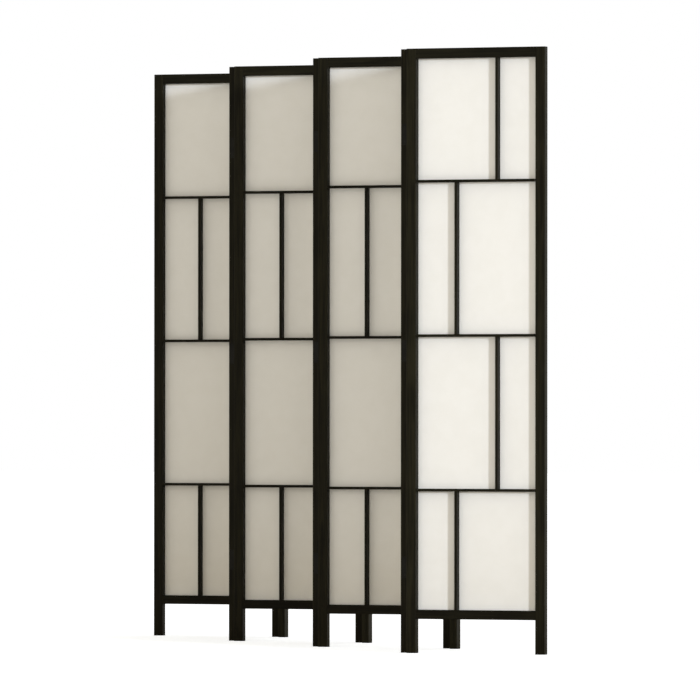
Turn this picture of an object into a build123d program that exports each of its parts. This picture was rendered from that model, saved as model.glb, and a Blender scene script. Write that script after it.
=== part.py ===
from build123d import *
import os

# A free-standing folding screen: seven identical framed panels in a zigzag with six right-angle folds.
# Panels 1, 3, 5 and 7 run along +X with their fronts towards -Y. Panels 2, 4 and 6 run along -Y, and
# each joins one of those to the next, which stands one step further forward.
# Millimetres, +Z up, with the origin on the floor at the middle of the zigzag's footprint.

# Panel
panel_count = 7
panel_width = 415
panel_height = 1700
frame_thickness = 22
stile_width = 28.5
stile_chamfer = 0.8

# Rails
leg_clearance = 96
bottom_rail_height = 26
top_rail_height = 28.5
rail_chamfer = 0.5
tenon_thickness = 8
tenon_length = 16
tenon_shoulder = 4
tenon_end_gap = 0.5

# Lattice in front of the sheet
bar_width = 7.7
bar_chamfer = 0.3
middle_bar_height = 892.5
bar_pitch = 434
bar_end_gap = 5
near_upright = 148.3
far_upright = 270.5
stub_thickness = 4
stub_depth = 10
stub_length = 6

# Sheet, and the rebate and beads that hold it
sheet_depth = 20
sheet_thickness = 0.5
sheet_edge_gap = 0.5
rebate_lap = 6

# Hinges
hinge_heights = (240, 850, 1460)
hinge_height = 60
leaf_width = 18
leaf_thickness = 1.2
axis_off_face = 3.3
axis_off_edge = 2
knuckle_radius = 3
knuckle_bore = 1.55
knuckle_count = 5
knuckle_gap = 0.2
tab_start = 1.7
pin_radius = 1.5
pin_head_radius = 2.5
pin_head_height = 1
screw_spacing = 40
screw_inset = 9.5
screw_length = 12
screw_tip_length = 2.5
screw_tip_radius = 0.3
screw_radius = 1.4
screw_head_radius = 2.5
screw_clearance = 0.05
slot_width = 0.6
slot_depth = 0.5
pilot_depth = 12.5

# Values that follow from the ones above
far_stile_start = panel_width - stile_width
opening_width = far_stile_start - stile_width
opening_bottom = leg_clearance + bottom_rail_height
opening_top = panel_height - top_rail_height
rebate_depth = frame_thickness - sheet_depth
rebate_bottom = opening_bottom - rebate_lap
rebate_height = opening_top + rebate_lap - rebate_bottom
rebate_width = opening_width + 2 * rebate_lap
bead_thickness = rebate_depth - sheet_thickness
bar_heights = [middle_bar_height + row * bar_pitch for row in (-1, 0, 1)]
fold_step = panel_width + frame_thickness + 2 * axis_off_face + 2 * axis_off_edge
face_on_count = (panel_count + 1) // 2
zigzag_width = (face_on_count - 1) * fold_step + panel_width
zigzag_depth = (face_on_count - 1) * fold_step + frame_thickness
knuckle_pitch = hinge_height / knuckle_count

CORNER = (Align.MIN, Align.MIN)
SEATED = (Align.CENTER, Align.CENTER, Align.MIN)
FRONT = "front"
BACK = "back"


def panel_plane(number):
    """A panel's own plane: origin at its front left foot, x along its width, y through to its back."""
    step = (number - 1) // 2
    corner_x = step * fold_step - zigzag_width / 2
    corner_y = zigzag_depth / 2 - frame_thickness - step * fold_step
    if number % 2:
        return Plane(origin=(corner_x, corner_y, 0), x_dir=(1, 0, 0), z_dir=(0, 0, 1))
    turn_x = corner_x + panel_width + axis_off_edge + axis_off_face
    turn_y = corner_y - axis_off_face - axis_off_edge
    return Plane(origin=(turn_x, turn_y, 0), x_dir=(0, -1, 0), z_dir=(0, 0, 1))


def hinged_edges(number):
    """A panel's hinged edges: place along its width, which way is out, and the face of the knuckles."""
    edges = []
    if number > 1:
        edges.append((0, -1, FRONT if number % 2 == 0 else BACK))
    if number < panel_count:
        edges.append((panel_width, 1, BACK if number % 2 == 0 else FRONT))
    return edges


def face_and_way(face):
    """Where a face lies through the panel's thickness, and which way is out of it."""
    return (0, -1) if face == FRONT else (frame_thickness, 1)


def hinge_axis(edge, out, face):
    """The hinge axis beside an edge, as x and y in the panel's plane."""
    face_y, face_out = face_and_way(face)
    return edge + out * axis_off_edge, face_y + face_out * axis_off_face


def screw_locations(hinge_z, edge, out, face, lift):
    """Where one hinge's screws start, lift above the wood, each turned to point into the edge."""
    face_y, face_out = face_and_way(face)
    inset_y = face_y - face_out * screw_inset
    into_edge = (0, -90 * out, 0)
    return [
        Location((edge + out * lift, inset_y, hinge_z + side * screw_spacing / 2), into_edge)
        for side in (-1, 1)
    ]


def finish(part, name):
    """Names a finished piece, or a group of separate solids, and writes it out."""
    part.label = name
    export_step(part, f"parts/{name}.step")


def make_stile(place, name, start, edges):
    """A post from floor to top, with the sheet's rebate, the mortises and the hinges' pilot holes."""
    is_left = start == 0
    inner_x = stile_width if is_left else far_stile_start
    into_wood = -1 if is_left else 1
    with BuildPart(place) as stile:
        with BuildSketch(place) as section:
            with Locations((start, 0)):
                Rectangle(stile_width, frame_thickness, align=CORNER)
            chamfer(section.vertices(), stile_chamfer)
        extrude(amount=panel_height)
        chamfer(stile.faces().sort_by(Axis.Z)[0].edges(), stile_chamfer)
        chamfer(stile.faces().sort_by(Axis.Z)[-1].edges(), stile_chamfer)
        with BuildSketch(place.offset(rebate_bottom)):
            with Locations((inner_x, frame_thickness)):
                Rectangle(2 * rebate_lap, 2 * rebate_depth)
        extrude(amount=rebate_height, mode=Mode.SUBTRACT)
        mortise_length = tenon_length + tenon_end_gap
        rails = ((leg_clearance, bottom_rail_height), (opening_top, top_rail_height))
        for rail_bottom, rail_height in rails:
            with BuildSketch(place.offset(rail_bottom + tenon_shoulder)):
                with Locations((inner_x + into_wood * mortise_length / 2, frame_thickness / 2)):
                    Rectangle(mortise_length, tenon_thickness)
            extrude(amount=rail_height - 2 * tenon_shoulder, mode=Mode.SUBTRACT)
        if is_left:
            with Locations(*[(inner_x - stub_length / 2, sheet_depth / 2, bar_z) for bar_z in bar_heights]):
                Box(stub_length, stub_depth, stub_thickness, mode=Mode.SUBTRACT)
        for edge in edges:
            for hinge_z in hinge_heights:
                with Locations(*screw_locations(hinge_z, *edge, lift=0)):
                    Cylinder(screw_radius + screw_clearance, pilot_depth, align=SEATED, mode=Mode.SUBTRACT)
    finish(stile.part, name)


def make_rail(place, name, bottom, height, sheet_edge):
    """A rail between the stiles, with a tenon at each end and the sheet's rebate along its inner edge."""
    end_plane = Plane(origin=place.from_local_coords((stile_width, 0, bottom)),
                      x_dir=place.y_dir, z_dir=place.x_dir)
    with BuildPart(end_plane) as rail:
        with BuildSketch(end_plane) as section:
            Rectangle(frame_thickness, height, align=CORNER)
            chamfer(section.vertices(), rail_chamfer)
        extrude(amount=opening_width)
        with BuildSketch(end_plane):
            with Locations((frame_thickness, sheet_edge - bottom)):
                Rectangle(2 * rebate_depth, 2 * rebate_lap)
        extrude(amount=opening_width, mode=Mode.SUBTRACT)
        with BuildSketch(end_plane.offset(-tenon_length)):
            with Locations((frame_thickness / 2, height / 2)):
                Rectangle(tenon_thickness, height - 2 * tenon_shoulder)
        extrude(amount=opening_width + 2 * tenon_length)
    finish(rail.part, name)


def make_cross_bar(place, middle_z):
    """A horizontal lattice bar: a stub lets it into the left stile, and it stops short of the right one."""
    end_plane = Plane(origin=place.from_local_coords((stile_width, 0, middle_z)),
                      x_dir=place.y_dir, z_dir=place.x_dir)
    with BuildPart(end_plane) as cross_bar:
        with BuildSketch(end_plane) as section:
            with Locations((sheet_depth / 2, 0)):
                Rectangle(sheet_depth, bar_width)
            chamfer(section.vertices().group_by(Axis.X)[0], bar_chamfer)
        extrude(amount=opening_width - bar_end_gap)
        with BuildSketch(end_plane):
            with Locations((sheet_depth / 2, 0)):
                Rectangle(stub_depth, stub_thickness)
        extrude(amount=-stub_length)
    return cross_bar.part.solid()


def make_upright(place, middle_x, low, high):
    """A vertical lattice bar, butted between two cross bars or a cross bar and a rail."""
    with BuildPart(place) as upright:
        with BuildSketch(place.offset(low)) as section:
            with Locations((middle_x, sheet_depth / 2)):
                Rectangle(bar_width, sheet_depth)
            chamfer(section.vertices().group_by(Axis.Y)[0], bar_chamfer)
        extrude(amount=high - low)
    return upright.part.solid()


def make_lattice(place, name):
    """Three cross bars, and one upright in each of the four rows, far and near by turns from the top."""
    bars = [make_cross_bar(place, bar_z) for bar_z in bar_heights]
    lows = [opening_bottom] + [bar_z + bar_width / 2 for bar_z in bar_heights]
    highs = [bar_z - bar_width / 2 for bar_z in bar_heights] + [opening_top]
    for row, (low, high) in enumerate(zip(lows, highs)):
        bars.append(make_upright(place, far_upright if row % 2 else near_upright, low, high))
    finish(Compound(bars), name)


def make_sheet(place, name):
    """The translucent sheet, flat against the lattice's back and lapped into the rebate all round."""
    width = rebate_width - 2 * sheet_edge_gap
    height = rebate_height - 2 * sheet_edge_gap
    with BuildPart(place) as sheet:
        with BuildSketch(place.offset(rebate_bottom + sheet_edge_gap)):
            with Locations((panel_width / 2, sheet_depth + sheet_thickness / 2)):
                Rectangle(width, sheet_thickness)
        extrude(amount=height)
    finish(sheet.part, name)


def make_bead(place, middle_x, low, width, height):
    """A flat strip in the rebate behind the sheet's edge, flush with the frame's back."""
    with BuildPart(place) as bead:
        with BuildSketch(place.offset(low)):
            with Locations((middle_x, frame_thickness - bead_thickness / 2)):
                Rectangle(width, bead_thickness)
        extrude(amount=height)
    return bead.part.solid()


def make_beads(place, name):
    """Two full-height beads, and two short ones between them along the rails."""
    beads = []
    for middle_x in (stile_width - rebate_lap / 2, far_stile_start + rebate_lap / 2):
        beads.append(make_bead(place, middle_x, rebate_bottom, rebate_lap, rebate_height))
    for low in (rebate_bottom, opening_top):
        beads.append(make_bead(place, panel_width / 2, low, opening_width, rebate_lap))
    finish(Compound(beads), name)


def make_leaf(place, hinge_z, edge, out, face):
    """A leaf flat on the panel's edge with its share of the knuckles: a right edge's leaf has the ends."""
    face_y, face_out = face_and_way(face)
    plate_x = edge + out * leaf_thickness / 2
    hinge_low = hinge_z - hinge_height / 2
    tab_length = axis_off_face - tab_start
    first_knuckle = 0 if out > 0 else 1
    with BuildPart(place) as leaf:
        with BuildSketch(place.offset(hinge_low)):
            with Locations((plate_x, face_y - face_out * leaf_width / 2)):
                Rectangle(leaf_thickness, leaf_width)
        extrude(amount=hinge_height)
        for knuckle in range(first_knuckle, knuckle_count, 2):
            with BuildSketch(place.offset(hinge_low + knuckle * knuckle_pitch + knuckle_gap / 2)):
                with Locations(hinge_axis(edge, out, face)):
                    Circle(knuckle_radius)
                with Locations((plate_x, face_y + face_out * tab_length / 2)):
                    Rectangle(leaf_thickness, tab_length)
                with Locations(hinge_axis(edge, out, face)):
                    Circle(knuckle_bore, mode=Mode.SUBTRACT)
            extrude(amount=knuckle_pitch - knuckle_gap)
        with Locations(*screw_locations(hinge_z, edge, out, face, lift=leaf_thickness)):
            Cone(screw_head_radius + screw_clearance, screw_radius + screw_clearance, leaf_thickness,
                 align=SEATED, mode=Mode.SUBTRACT)
    return leaf.part.solid()


def make_pin(place, hinge_z, edge, out, face):
    """A hinge pin through all the knuckles, with a flat head against each end knuckle."""
    axis_x, axis_y = hinge_axis(edge, out, face)
    half_length = (hinge_height - knuckle_gap) / 2
    with BuildPart(place) as pin:
        with Locations((axis_x, axis_y, hinge_z)):
            Cylinder(pin_radius, 2 * half_length)
        with Locations((axis_x, axis_y, hinge_z + half_length + pin_head_height / 2),
                       (axis_x, axis_y, hinge_z - half_length - pin_head_height / 2)):
            Cylinder(pin_head_radius, pin_head_height)
    return pin.part.solid()


def make_screw(seat):
    """A countersunk slotted wood screw, drawn along its seat's z from the face of its head to its tip."""
    shank_length = screw_length - screw_tip_length
    with BuildPart(seat) as screw:
        Cone(screw_head_radius, screw_radius, leaf_thickness, align=SEATED)
        with Locations((0, 0, leaf_thickness)):
            Cylinder(screw_radius, shank_length, align=SEATED)
        with Locations((0, 0, leaf_thickness + shank_length)):
            Cone(screw_radius, screw_tip_radius, screw_tip_length, align=SEATED)
        Box(2 * screw_head_radius, slot_width, 2 * slot_depth, mode=Mode.SUBTRACT)
    return screw.part.solid()


def make_hinges(place, name, edges):
    """A panel's hinge pieces: every leaf on its edges with its screws, and the pins of its right edge."""
    pieces = []
    for edge, out, face in edges:
        for hinge_z in hinge_heights:
            pieces.append(make_leaf(place, hinge_z, edge, out, face))
            if out > 0:
                pieces.append(make_pin(place, hinge_z, edge, out, face))
            for at in screw_locations(hinge_z, edge, out, face, lift=leaf_thickness):
                pieces.append(make_screw(Plane(place.location * at)))
    finish(Compound(pieces), name)


def make_panel(number):
    """One framed panel of the zigzag, with its half of the hinges on each joined edge."""
    place = panel_plane(number)
    name = f"panel_{number}"
    edges = hinged_edges(number)
    left_edges = [edge for edge in edges if edge[1] < 0]
    right_edges = [edge for edge in edges if edge[1] > 0]
    make_stile(place, f"{name}_left_stile", 0, left_edges)
    make_stile(place, f"{name}_right_stile", far_stile_start, right_edges)
    make_rail(place, f"{name}_bottom_rail", leg_clearance, bottom_rail_height, opening_bottom)
    make_rail(place, f"{name}_top_rail", opening_top, top_rail_height, opening_top)
    make_lattice(place, f"{name}_lattice")
    make_sheet(place, f"{name}_sheet")
    make_beads(place, f"{name}_beads")
    make_hinges(place, f"{name}_hinges", edges)


os.makedirs("parts", exist_ok=True)
for panel_number in range(1, panel_count + 1):
    make_panel(panel_number)
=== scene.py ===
import math

import bpy
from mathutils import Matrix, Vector, noise


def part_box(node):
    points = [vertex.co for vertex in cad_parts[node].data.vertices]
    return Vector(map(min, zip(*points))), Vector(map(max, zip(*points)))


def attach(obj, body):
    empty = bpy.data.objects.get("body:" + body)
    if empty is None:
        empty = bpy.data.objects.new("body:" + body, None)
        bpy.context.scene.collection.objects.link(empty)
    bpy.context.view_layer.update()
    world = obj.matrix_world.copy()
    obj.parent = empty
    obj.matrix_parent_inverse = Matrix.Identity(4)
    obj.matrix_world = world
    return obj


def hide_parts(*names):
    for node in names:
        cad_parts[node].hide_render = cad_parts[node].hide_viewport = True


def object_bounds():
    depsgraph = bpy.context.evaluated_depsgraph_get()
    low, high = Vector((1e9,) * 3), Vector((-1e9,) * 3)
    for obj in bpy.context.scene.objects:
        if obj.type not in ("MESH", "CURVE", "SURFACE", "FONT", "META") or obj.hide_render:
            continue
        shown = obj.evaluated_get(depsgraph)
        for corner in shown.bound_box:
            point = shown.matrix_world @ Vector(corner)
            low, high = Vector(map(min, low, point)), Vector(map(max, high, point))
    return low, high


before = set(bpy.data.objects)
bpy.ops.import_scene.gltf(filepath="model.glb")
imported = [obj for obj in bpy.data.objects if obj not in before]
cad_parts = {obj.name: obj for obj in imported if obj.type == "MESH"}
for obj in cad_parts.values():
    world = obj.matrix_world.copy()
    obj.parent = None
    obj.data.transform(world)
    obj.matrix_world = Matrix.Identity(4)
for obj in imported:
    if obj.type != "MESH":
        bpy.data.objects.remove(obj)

cad_low, cad_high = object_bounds()

# Metres and degrees. Places within a panel are measured from its front left foot, as in the CAD model.
PANELS = range(1, 8)

# Lattice bars and beads
BAR_WIDTH = 0.0077
MIDDLE_BAR_HEIGHT = 0.8925
BAR_PITCH = 0.434
BAR_HEIGHTS = tuple(MIDDLE_BAR_HEIGHT + step * BAR_PITCH for step in (-1, 0, 1))
NEAR_UPRIGHT = 0.1483
FAR_UPRIGHT = 0.2705
BEAD_WIDTH = 0.006
BEAD_HEIGHTS = (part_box("panel_1_bottom_rail")[1].z - BEAD_WIDTH / 2,
                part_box("panel_1_top_rail")[0].z + BEAD_WIDTH / 2)
BAR_HALF_SHARE = 0.52      # just over half, so that a bar's own faces count as in it

# Sheets: how far they stand back from flat, how near the frame and bars hold them flat, and their ripple
SHEET_SLACK = 0.0008
SHEET_HOLD = 0.045
SHEET_COLUMNS = 46
SHEET_ROWS = 176
RIPPLES_ACROSS = 7.0
RIPPLES_UP = 4.0
RIPPLE_STEP = 3.7
RIPPLE_SHARE = 0.45

# Materials. Scales are noise cells per metre, relief is in metres, and tones are spans of a noise's value.
NOISE_SPAN = (0.3, 0.7)

# Wood
GRAIN_SQUEEZE = 0.035
GRAIN_SCALE = 160.0
GRAIN_RELIEF = 0.00016
GRAIN_TONES = (0.36, 0.64)
PORE_SCALE = 900.0
PORE_SHARE = 0.55
PORE_RELIEF = -0.00007
PORE_TONES = (0.56, 0.70)
CLOUD_SCALE = 9.0
CLOUD_SHARE = 0.25
BOARD_SHIFT = (7.0, 11.0, 5.0)
BOARD_SPREAD = 0.12
WOOD_DARK = (0.0050, 0.0043, 0.0018, 1)
WOOD_LIGHT = (0.0140, 0.0122, 0.0056, 1)
WOOD_PORE = (0.0024, 0.0020, 0.0011, 1)
WOOD_WORN = (0.0500, 0.0340, 0.0190, 1)
WOOD_WORN_SHARE = 0.40
WOOD_EDGE = 0.0012
WOOD_SPECULAR = 0.075
WOOD_ROUGHNESS = (0.40, 0.52)
PORE_ROUGHNESS = 0.12
WORN_ROUGHNESS = 0.15
WOOD_BUMP = 0.6
# Painted shade: the rails are a darker copy of the same wood, standing in for how the light falls on them.
RAIL_PAINTED_SHADE = 0.72
# Painted shade: the lattice bars are a darker copy of the same wood, offsetting the bright paper's light
# that spreads into the thin bars.
LATTICE_PAINTED_SHADE = 0.7

# Edge wear: how far the rounded normal turns from the flat one (as a cosine), and the patches that break it
EDGE_TURN = (0.995, 0.90)
EDGE_SAMPLES = 6
WEAR_SCALE = 38.0
WEAR_PATCHES = (0.50, 0.66)

# Hinges
STEEL_DARK = (0.0060, 0.0056, 0.0040, 1)
STEEL_LIGHT = (0.0110, 0.0103, 0.0080, 1)
STEEL_BARE = (0.1400, 0.1300, 0.1200, 1)
STEEL_BARE_SHARE = 0.5
STEEL_EDGE = 0.0004
STEEL_SPECULAR = 0.12
STEEL_ROUGHNESS = (0.44, 0.60)
STEEL_BUMP = 0.5
PEEL_SCALE = 700.0
PEEL_RELIEF = 0.00003
SMUDGE_SCALE = 45.0
SMUDGE_TONES = (0.35, 0.65)

# Paper
PAPER_FRONT = (0.905, 0.897, 0.875, 1)
PAPER_CLOUD = (0.885, 0.876, 0.850, 1)
PAPER_FIBRE = (0.950, 0.945, 0.930, 1)
PAPER_THROUGH = (0.870, 0.835, 0.760, 1)
PAPER_SHARE_THROUGH = 0.25
PAPER_SPECULAR = 0.15
PAPER_ROUGHNESS = (0.82, 0.95)
PAPER_BUMP = 0.5
PAPER_CLOUD_SCALE = 22.0
PAPER_TONES = (0.40, 0.62)
PULP_SCALE = 420.0
PULP_SHARE = 0.3
PULP_RELIEF = 0.00005
THREAD_SCALE = 95.0
THREAD_STRETCH = (1.0, 1.0, 0.35)
THREAD_CURL = 2.2
THREAD_WIDTH = 0.018
THREAD_SHARE = 0.12
THREAD_RELIEF = 0.00005

# Camera
CAMERA_PLACE = (8.6028, -21.6073, 0.6808)
CAMERA_YAW = 21.658
CAMERA_PITCH = 0.4371
CAMERA_ROLL = -0.0336
CAMERA_LENS = 410.53
CAMERA_SENSOR = 36.0
CAMERA_CLIP = (1.0, 200.0)

# Light. The fades are ranges of a direction's X or Y over which one side of the studio turns into the other.
KEY_YAW = 53.5
KEY_ELEVATION = 7.2
KEY_STRENGTH = 2.20
KEY_SPREAD = 5.0
KEY_COLOUR = (0.845, 0.903, 1.0)
FILL_PLACE = (1.5, -2.8, 0.9)
FILL_SIZE = 1.6
FILL_POWER = 5.8
WHITE = (1, 1, 1, 1)
WORLD_FRONT_LEFT = (0.866, 0.808, 0.694, 1)
WORLD_FRONT_RIGHT = (0.84, 0.82, 0.755, 1)
WORLD_BACK = (0.89, 0.865, 0.815, 1)
WORLD_BACK_LEFT = (0.38, 0.37, 0.34, 1)
FRONT_TO_BACK_FADE = (-0.45, 0.55)
FRONT_LEFT_FADE = (0.5, -0.5)
BACK_LEFT_FADE = (0.1, -0.8)

# Floor
FLOOR_REACH = 60.0
# Painted shade on the floor: for the light it throws back it is darker and warmer near the zigzag than far
# off.
FLOOR_NEAR_PAINTED_SHADE = (0.33, 0.25, 0.115, 1)
FLOOR_FAR = (0.86, 0.85, 0.83, 1)
FLOOR_FADE = (0.15, 0.70)
FLOOR_SEEN = (0.77, 0.80, 0.85, 1)
FLOOR_GLOW = 0.52


# ---- Node helpers -------------------------------------------------------------------------------

class Nodes:
    """A shorthand for building one node tree. A value is a socket to link, or a number or colour to set."""

    def __init__(self, tree):
        self.tree = tree
        tree.nodes.clear()

    def put(self, node, name, value):
        """Gives an input, by name or number, its value."""
        socket = node.inputs[name]
        if isinstance(value, bpy.types.NodeSocket):
            self.tree.links.new(value, socket)
        else:
            socket.default_value = value

    def add(self, kind, **inputs):
        """Adds a node. Its inputs are given by name, with _ for a space."""
        node = self.tree.nodes.new(kind)
        for name, value in inputs.items():
            self.put(node, name.replace("_", " "), value)
        return node

    def math(self, operation, first, second=0.0, clamp=False):
        node = self.tree.nodes.new("ShaderNodeMath")
        node.operation = operation
        node.use_clamp = clamp
        self.put(node, 0, first)
        self.put(node, 1, second)
        return node.outputs[0]

    def scaled(self, value, share):
        return self.math("MULTIPLY", value, share)

    def weighted(self, first, second, second_share):
        """The mean of two values, the second with the given share."""
        return self.math("ADD", self.scaled(first, 1 - second_share), self.scaled(second, second_share))

    def away(self, value, middle):
        """How far a value is from the middle."""
        return self.math("ABSOLUTE", self.math("SUBTRACT", value, middle))

    def dot(self, first, second):
        node = self.tree.nodes.new("ShaderNodeVectorMath")
        node.operation = "DOT_PRODUCT"
        self.put(node, 0, first)
        self.put(node, 1, second)
        return node.outputs["Value"]

    def noise(self, vector, scale, detail=4.0, roughness=0.55, distortion=0.0):
        node = self.add("ShaderNodeTexNoise", Vector=vector, Scale=scale, Detail=detail,
                        Roughness=roughness, Distortion=distortion)
        return node.outputs["Fac"]

    def remap(self, value, span, result=(0.0, 1.0)):
        """Turns a value's span smoothly into the result's range."""
        node = self.tree.nodes.new("ShaderNodeMapRange")
        node.interpolation_type = "SMOOTHSTEP"
        numbers = {"Value": value, "From Min": span[0], "From Max": span[1],
                   "To Min": result[0], "To Max": result[1]}
        for name, number in numbers.items():
            self.put(node, name, number)
        return node.outputs["Result"]

    def mix(self, share, first, second):
        """Mixes two colours."""
        node = self.tree.nodes.new("ShaderNodeMix")
        node.data_type = "RGBA"
        self.put(node, 0, share)
        self.put(node, 6, first)
        self.put(node, 7, second)
        return node.outputs[2]

    def mix_vector(self, share, first, second):
        node = self.tree.nodes.new("ShaderNodeMix")
        node.data_type = "VECTOR"
        self.put(node, 0, share)
        self.put(node, 4, first)
        self.put(node, 5, second)
        return node.outputs[1]

    def mix_shader(self, share, first, second):
        node = self.add("ShaderNodeMixShader", Fac=share)
        self.put(node, 1, first.outputs[0])
        self.put(node, 2, second.outputs[0])
        return node

    def bump(self, height, strength):
        """A bumped normal. The height is in metres."""
        node = self.add("ShaderNodeBump", Height=height, Strength=strength, Distance=1.0)
        return node.outputs["Normal"]

    def own_place(self):
        return self.add("ShaderNodeTexCoord").outputs["Object"]

    def camera_ray(self):
        return self.add("ShaderNodeLightPath").outputs["Is Camera Ray"]

    def finish(self, shader, kind="ShaderNodeOutputMaterial"):
        """Ends the tree in the shader."""
        self.add(kind, Surface=shader.outputs[0])


def new_material(name):
    material = bpy.data.materials.new(name)
    material.use_nodes = True
    return material, Nodes(material.node_tree)


def edge_wear(nodes, place, radius):
    """A mask of the edges: where a rounded normal leaves the flat one, broken up by noise."""
    round_normal = nodes.add("ShaderNodeBevel", Radius=radius)
    round_normal.samples = EDGE_SAMPLES
    flat = nodes.add("ShaderNodeNewGeometry")
    edge = nodes.remap(nodes.dot(round_normal.outputs["Normal"], flat.outputs["Normal"]), EDGE_TURN)
    patches = nodes.remap(nodes.noise(place, WEAR_SCALE, detail=5.0), WEAR_PATCHES)
    return nodes.math("MULTIPLY", edge, patches, clamp=True)


# ---- Materials ----------------------------------------------------------------------------------

def grain_place(nodes, place, board, along):
    """The piece's coordinates, moved by an amount of each board's own, squeezed along the grain."""
    shift = nodes.add("ShaderNodeCombineXYZ")
    for axis, most in enumerate(BOARD_SHIFT):
        nodes.put(shift, axis, nodes.scaled(board, most))
    squeeze = tuple(GRAIN_SQUEEZE if axis == along else 1.0 for axis in "XYZ")
    return nodes.add("ShaderNodeMapping", Vector=place, Location=shift.outputs[0],
                     Scale=squeeze).outputs["Vector"]


def mixed_grain(nodes, place, board, along, bar_heights, bar_width):
    """Upright grain, except at the heights of the horizontal bars, where it runs along them."""
    height = nodes.add("ShaderNodeSeparateXYZ", Vector=place).outputs["Z"]
    in_bar = 0.0
    for bar_height in bar_heights:
        here = nodes.math("LESS_THAN", nodes.away(height, bar_height), bar_width * BAR_HALF_SHARE)
        in_bar = nodes.math("ADD", here, in_bar)
    upright = grain_place(nodes, place, board, "Z")
    level = grain_place(nodes, place, board, along)
    return nodes.mix_vector(in_bar, upright, level)


def stained_wood(name, along, bar_heights=(), bar_width=0.0, painted_shade=1.0):
    """Near-black brown stain over fine straight grain. With bar_heights the grain is upright, apart from
    the bars at those heights. Its last argument darkens the whole wood as painted shade, for darker copies
    of it."""
    material, nodes = new_material(name)
    place = nodes.own_place()
    board = nodes.add("ShaderNodeObjectInfo").outputs["Random"]
    if bar_heights:
        grain = mixed_grain(nodes, place, board, along, bar_heights, bar_width)
    else:
        grain = grain_place(nodes, place, board, along)
    bands = nodes.noise(grain, GRAIN_SCALE, detail=6.0, roughness=0.6, distortion=0.6)
    pores = nodes.remap(nodes.noise(grain, PORE_SCALE, detail=3.0, roughness=0.7), PORE_TONES)
    clouds = nodes.noise(place, CLOUD_SCALE, detail=3.0)
    worn = edge_wear(nodes, place, WOOD_EDGE)

    tone = nodes.remap(nodes.weighted(bands, clouds, CLOUD_SHARE), GRAIN_TONES)
    colour = nodes.mix(tone, WOOD_DARK, WOOD_LIGHT)
    colour = nodes.mix(nodes.scaled(pores, PORE_SHARE), colour, WOOD_PORE)
    colour = nodes.mix(nodes.scaled(worn, WOOD_WORN_SHARE), colour, WOOD_WORN)
    # Each board's random tone, scaled by the painted shade of darker copies of this wood.
    darkest, lightest = painted_shade * (1 - BOARD_SPREAD), painted_shade * (1 + BOARD_SPREAD)
    board_tone_and_painted_shade = nodes.add("ShaderNodeHueSaturation", Color=colour,
                     Value=nodes.remap(board, (0.0, 1.0), (darkest, lightest)))

    rough = nodes.remap(bands, NOISE_SPAN, WOOD_ROUGHNESS)
    rough = nodes.math("ADD", rough, nodes.scaled(pores, PORE_ROUGHNESS))
    rough = nodes.math("ADD", rough, nodes.scaled(worn, WORN_ROUGHNESS))
    relief = nodes.math("ADD", nodes.scaled(bands, GRAIN_RELIEF), nodes.scaled(pores, PORE_RELIEF))
    shader = nodes.add("ShaderNodeBsdfPrincipled", Base_Color=board_tone_and_painted_shade.outputs["Color"], Roughness=rough,
                       Specular_IOR_Level=WOOD_SPECULAR, Normal=nodes.bump(relief, WOOD_BUMP))
    nodes.finish(shader)
    return material


def fibre_paper(name):
    """Matt off-white fibre paper that passes part of the light behind it."""
    material, nodes = new_material(name)
    place = nodes.own_place()
    clouds = nodes.noise(place, PAPER_CLOUD_SCALE, detail=5.0, roughness=0.6)
    pulp = nodes.noise(place, PULP_SCALE, detail=4.0, roughness=0.65)
    stretched = nodes.add("ShaderNodeMapping", Vector=place, Scale=THREAD_STRETCH).outputs["Vector"]
    curls = nodes.noise(stretched, THREAD_SCALE, detail=2.0, roughness=0.5, distortion=THREAD_CURL)
    threads = nodes.remap(nodes.away(curls, 0.5), (THREAD_WIDTH, 0.0))

    tone = nodes.remap(nodes.weighted(clouds, pulp, PULP_SHARE), PAPER_TONES)
    colour = nodes.mix(tone, PAPER_FRONT, PAPER_CLOUD)
    colour = nodes.mix(nodes.scaled(threads, THREAD_SHARE), colour, PAPER_FIBRE)
    relief = nodes.math("ADD", nodes.scaled(pulp, PULP_RELIEF), nodes.scaled(threads, THREAD_RELIEF))
    normal = nodes.bump(relief, PAPER_BUMP)
    front = nodes.add("ShaderNodeBsdfPrincipled", Base_Color=colour,
                      Roughness=nodes.remap(pulp, NOISE_SPAN, PAPER_ROUGHNESS),
                      Specular_IOR_Level=PAPER_SPECULAR, Normal=normal)
    through = nodes.add("ShaderNodeBsdfTranslucent", Color=PAPER_THROUGH, Normal=normal)
    nodes.finish(nodes.mix_shader(PAPER_SHARE_THROUGH, front, through))
    return material


def black_steel(name):
    """Black coated steel with a light orange peel and a little bare metal on the edges."""
    material, nodes = new_material(name)
    place = nodes.own_place()
    peel = nodes.noise(place, PEEL_SCALE, detail=3.0)
    smudge = nodes.noise(place, SMUDGE_SCALE)
    bare = nodes.scaled(edge_wear(nodes, place, STEEL_EDGE), STEEL_BARE_SHARE)
    colour = nodes.mix(nodes.remap(smudge, SMUDGE_TONES), STEEL_DARK, STEEL_LIGHT)
    shader = nodes.add("ShaderNodeBsdfPrincipled", Base_Color=nodes.mix(bare, colour, STEEL_BARE),
                       Roughness=nodes.remap(smudge, NOISE_SPAN, STEEL_ROUGHNESS), Metallic=bare,
                       Specular_IOR_Level=STEEL_SPECULAR,
                       Normal=nodes.bump(nodes.scaled(peel, PEEL_RELIEF), STEEL_BUMP))
    nodes.finish(shader)
    return material


# ---- Sheets -------------------------------------------------------------------------------------

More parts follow.
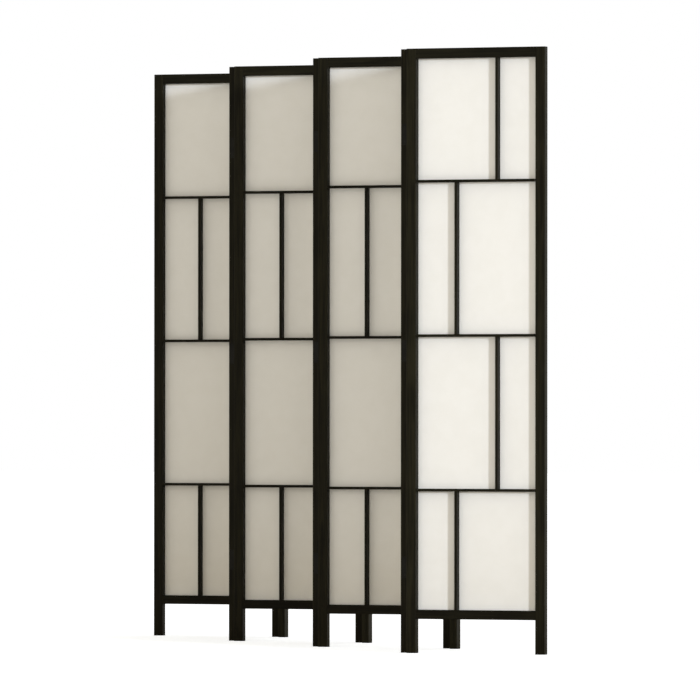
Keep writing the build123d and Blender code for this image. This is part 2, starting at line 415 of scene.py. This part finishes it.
def panel_axes(number):
    """The panel's front left foot corner, its direction to the right and its direction to the back."""
    left_low, left_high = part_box(f"panel_{number}_left_stile")
    right_low, right_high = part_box(f"panel_{number}_right_stile")
    right = right_low + right_high - left_low - left_high
    right.z = 0
    right.normalize()
    back = Vector((0, 0, 1)).cross(right)
    half = (left_high - left_low) / 2
    corner = (left_low + left_high) / 2 - right * abs(half.dot(right)) - back * abs(half.dot(back))
    corner.z = 0
    return corner, right, back


def span(node, corner, direction):
    """Where a node starts and ends, from the corner in the given direction."""
    return sorted((place - corner).dot(direction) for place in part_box(node))


def smooth(value):
    value = min(max(value, 0.0), 1.0)
    return value * value * (3 - 2 * value)


def slack_at(across, up, opening, seed):
    """How far the sheet stands back from flat: nothing at the frame and bars, a little between them."""
    left, right, bottom, top = opening
    if not (left < across < right and bottom < up < top):
        return 0.0
    row = sum(up > height for height in BAR_HEIGHTS)
    upright = FAR_UPRIGHT if row % 2 else NEAR_UPRIGHT
    away = [across - left, right - across, up - bottom, top - up]
    away += [abs(up - height) - BAR_WIDTH / 2 for height in BAR_HEIGHTS]
    away.append(abs(across - upright) - BAR_WIDTH / 2)
    held = smooth(min(away) / SHEET_HOLD)
    ripple = noise.noise(Vector((across * RIPPLES_ACROSS, up * RIPPLES_UP, seed * RIPPLE_STEP)))
    return SHEET_SLACK * held * (1 - RIPPLE_SHARE + RIPPLE_SHARE * ripple)


def sheet_faces():
    """The faces of two skins of SHEET_ROWS by SHEET_COLUMNS squares, and of the rim that joins them."""
    wide = SHEET_COLUMNS + 1
    skin = wide * (SHEET_ROWS + 1)
    faces = []
    for row in range(SHEET_ROWS):
        for column in range(SHEET_COLUMNS):
            first = row * wide + column
            quad = (first, first + 1, first + 1 + wide, first + wide)
            faces.append(quad)
            faces.append(tuple(skin + corner for corner in reversed(quad)))
    rim = list(range(wide))
    rim += [row * wide + SHEET_COLUMNS for row in range(1, SHEET_ROWS + 1)]
    rim += [SHEET_ROWS * wide + column for column in reversed(range(SHEET_COLUMNS))]
    rim += [row * wide for row in reversed(range(1, SHEET_ROWS))]
    for first, second in zip(rim, rim[1:] + rim[:1]):
        faces.append((second, first, first + skin, second + skin))
    return faces


def make_sheet(number, material):
    """A sheet of paper where its CAD solid lies: two skins a paper's thickness apart, closed at the edge."""
    name = f"panel_{number}_sheet"
    corner, right, back = panel_axes(number)
    low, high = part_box(name)
    left_edge, right_edge = span(name, corner, right)
    opening = (span(f"panel_{number}_left_stile", corner, right)[1],
               span(f"panel_{number}_right_stile", corner, right)[0],
               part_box(f"panel_{number}_bottom_rail")[1].z,
               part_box(f"panel_{number}_top_rail")[0].z)
    vertices = []
    for depth in span(name, corner, back):
        for row in range(SHEET_ROWS + 1):
            up = low.z + (high.z - low.z) * row / SHEET_ROWS
            for column in range(SHEET_COLUMNS + 1):
                across = left_edge + (right_edge - left_edge) * column / SHEET_COLUMNS
                place = corner + right * across + back * (depth + slack_at(across, up, opening, number))
                vertices.append((place.x, place.y, up))
    mesh = bpy.data.meshes.new(f"paper_{number}")
    mesh.from_pydata(vertices, [], sheet_faces())
    mesh.polygons.foreach_set("use_smooth", [True] * len(mesh.polygons))
    mesh.update()
    mesh.materials.append(material)
    piece = bpy.data.objects.new(f"paper_{number}", mesh)
    bpy.context.scene.collection.objects.link(piece)
    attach(piece, f"panel_{number}")
    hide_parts(name)


# ---- The object ---------------------------------------------------------------------------------

def panel_materials(along, upright, steel):
    """The material of each CAD part of the panels that run along X or along Y."""
    # The rails' and lattice bars' woods carry painted shade: they are darker copies of the same stained
    # wood.
    rail = stained_wood(f"stained_wood_rail_painted_shade_{along}", along, painted_shade=RAIL_PAINTED_SHADE)
    bead = stained_wood(f"stained_wood_bead_{along}", along, BEAD_HEIGHTS, BEAD_WIDTH)
    lattice = stained_wood(f"stained_wood_lattice_painted_shade_{along}", along, BAR_HEIGHTS, BAR_WIDTH, LATTICE_PAINTED_SHADE)
    return {"left_stile": upright, "right_stile": upright, "bottom_rail": rail, "top_rail": rail,
            "beads": bead, "lattice": lattice, "hinges": steel}


def dress_panels():
    """Gives every CAD node its material, and every panel its sheet."""
    steel = black_steel("black_steel")
    paper = fibre_paper("fibre_paper")
    upright = stained_wood("stained_wood_upright", "Z")
    along_x = panel_materials("X", upright, steel)
    along_y = panel_materials("Y", upright, steel)
    for number in PANELS:
        materials = along_x if number % 2 else along_y
        for part, material in materials.items():
            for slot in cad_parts[f"panel_{number}_{part}"].material_slots:
                slot.material = material
        make_sheet(number, paper)


# ---- Floor, light and camera --------------------------------------------------------------------

def make_floor():
    """A plain pale floor. A glow keeps it white to the camera. For the light that it throws back on the
    object,
    its colour carries painted shade: warmer and darker close to the line of the zigzag than further off."""
    mesh = bpy.data.meshes.new("floor")
    corners = [(x * FLOOR_REACH, y * FLOOR_REACH, 0) for x, y in ((-1, -1), (1, -1), (1, 1), (-1, 1))]
    mesh.from_pydata(corners, [], [(0, 1, 2, 3)])
    floor = bpy.data.objects.new("floor", mesh)
    bpy.context.scene.collection.objects.link(floor)
    material, nodes = new_material("floor_white")
    size = cad_high - cad_low
    off_zigzag = nodes.dot(nodes.own_place(), Vector((size.y, size.x, 0)).normalized())
    # Painted shade: the floor's colour for the light it throws back darkens and warms close to the zigzag.
    far = nodes.remap(nodes.math("ABSOLUTE", off_zigzag), FLOOR_FADE)
    bounce = nodes.add("ShaderNodeBsdfDiffuse", Color=nodes.mix(far, FLOOR_NEAR_PAINTED_SHADE, FLOOR_FAR))
    seen = nodes.add("ShaderNodeBsdfDiffuse", Color=FLOOR_SEEN)
    glow = nodes.add("ShaderNodeEmission", Color=WHITE, Strength=FLOOR_GLOW)
    bright = nodes.add("ShaderNodeAddShader")
    nodes.put(bright, 0, seen.outputs[0])
    nodes.put(bright, 1, glow.outputs[0])
    nodes.finish(nodes.mix_shader(nodes.camera_ray(), bounce, bright))
    mesh.materials.append(material)


def make_world():
    """A studio that is pure white to the camera, and lights the object least from the back left."""
    world = bpy.data.worlds.new("studio")
    world.use_nodes = True
    nodes = Nodes(world.node_tree)
    direction = nodes.add("ShaderNodeTexCoord").outputs["Generated"]
    parts = nodes.add("ShaderNodeSeparateXYZ", Vector=direction)
    front_left = nodes.remap(parts.outputs["X"], FRONT_LEFT_FADE)
    back_left = nodes.remap(parts.outputs["X"], BACK_LEFT_FADE)
    front = nodes.mix(front_left, WORLD_FRONT_RIGHT, WORLD_FRONT_LEFT)
    back = nodes.mix(back_left, WORLD_BACK, WORLD_BACK_LEFT)
    light = nodes.mix(nodes.remap(parts.outputs["Y"], FRONT_TO_BACK_FADE), front, back)
    lit = nodes.add("ShaderNodeBackground", Color=light, Strength=1.0)
    seen = nodes.add("ShaderNodeBackground", Color=WHITE, Strength=1.0)
    nodes.finish(nodes.mix_shader(nodes.camera_ray(), lit, seen), "ShaderNodeOutputWorld")
    bpy.context.scene.world = world


def make_light(name, data, side):
    """Adds a light that shines on the object from a side, the direction from the object to the light."""
    light = bpy.data.objects.new(name, data)
    bpy.context.scene.collection.objects.link(light)
    light.rotation_mode = "QUATERNION"
    light.rotation_quaternion = side.to_track_quat("Z", "Y")
    return light


def make_key():
    """A low, fairly sharp key light from the right front."""
    data = bpy.data.lights.new("key", "SUN")
    data.energy = KEY_STRENGTH
    data.angle = math.radians(KEY_SPREAD)
    data.color = KEY_COLOUR
    yaw = math.radians(KEY_YAW)
    rise = math.radians(KEY_ELEVATION)
    side = Vector((math.sin(yaw) * math.cos(rise), -math.cos(yaw) * math.cos(rise), math.sin(rise)))
    make_light("key", data, side)


def make_fill():
    """A wide soft light before the object's right end, weaker on the panels further off."""
    data = bpy.data.lights.new("fill", "AREA")
    data.energy = FILL_POWER
    data.shape = "SQUARE"
    data.size = FILL_SIZE
    place = Vector(FILL_PLACE)
    fill = make_light("fill", data, place - (cad_low + cad_high) / 2)
    fill.location = place


def make_camera():
    data = bpy.data.cameras.new("camera")
    data.lens = CAMERA_LENS
    data.sensor_width = CAMERA_SENSOR
    data.clip_start, data.clip_end = CAMERA_CLIP
    camera = bpy.data.objects.new("camera", data)
    bpy.context.scene.collection.objects.link(camera)
    camera.location = CAMERA_PLACE
    camera.rotation_euler = (math.radians(90 + CAMERA_PITCH), math.radians(CAMERA_ROLL),
                             math.radians(CAMERA_YAW))
    bpy.context.scene.camera = camera


dress_panels()
make_floor()
make_world()
make_key()
make_fill()
make_camera()
bpy.context.scene.view_settings.view_transform = "Standard"
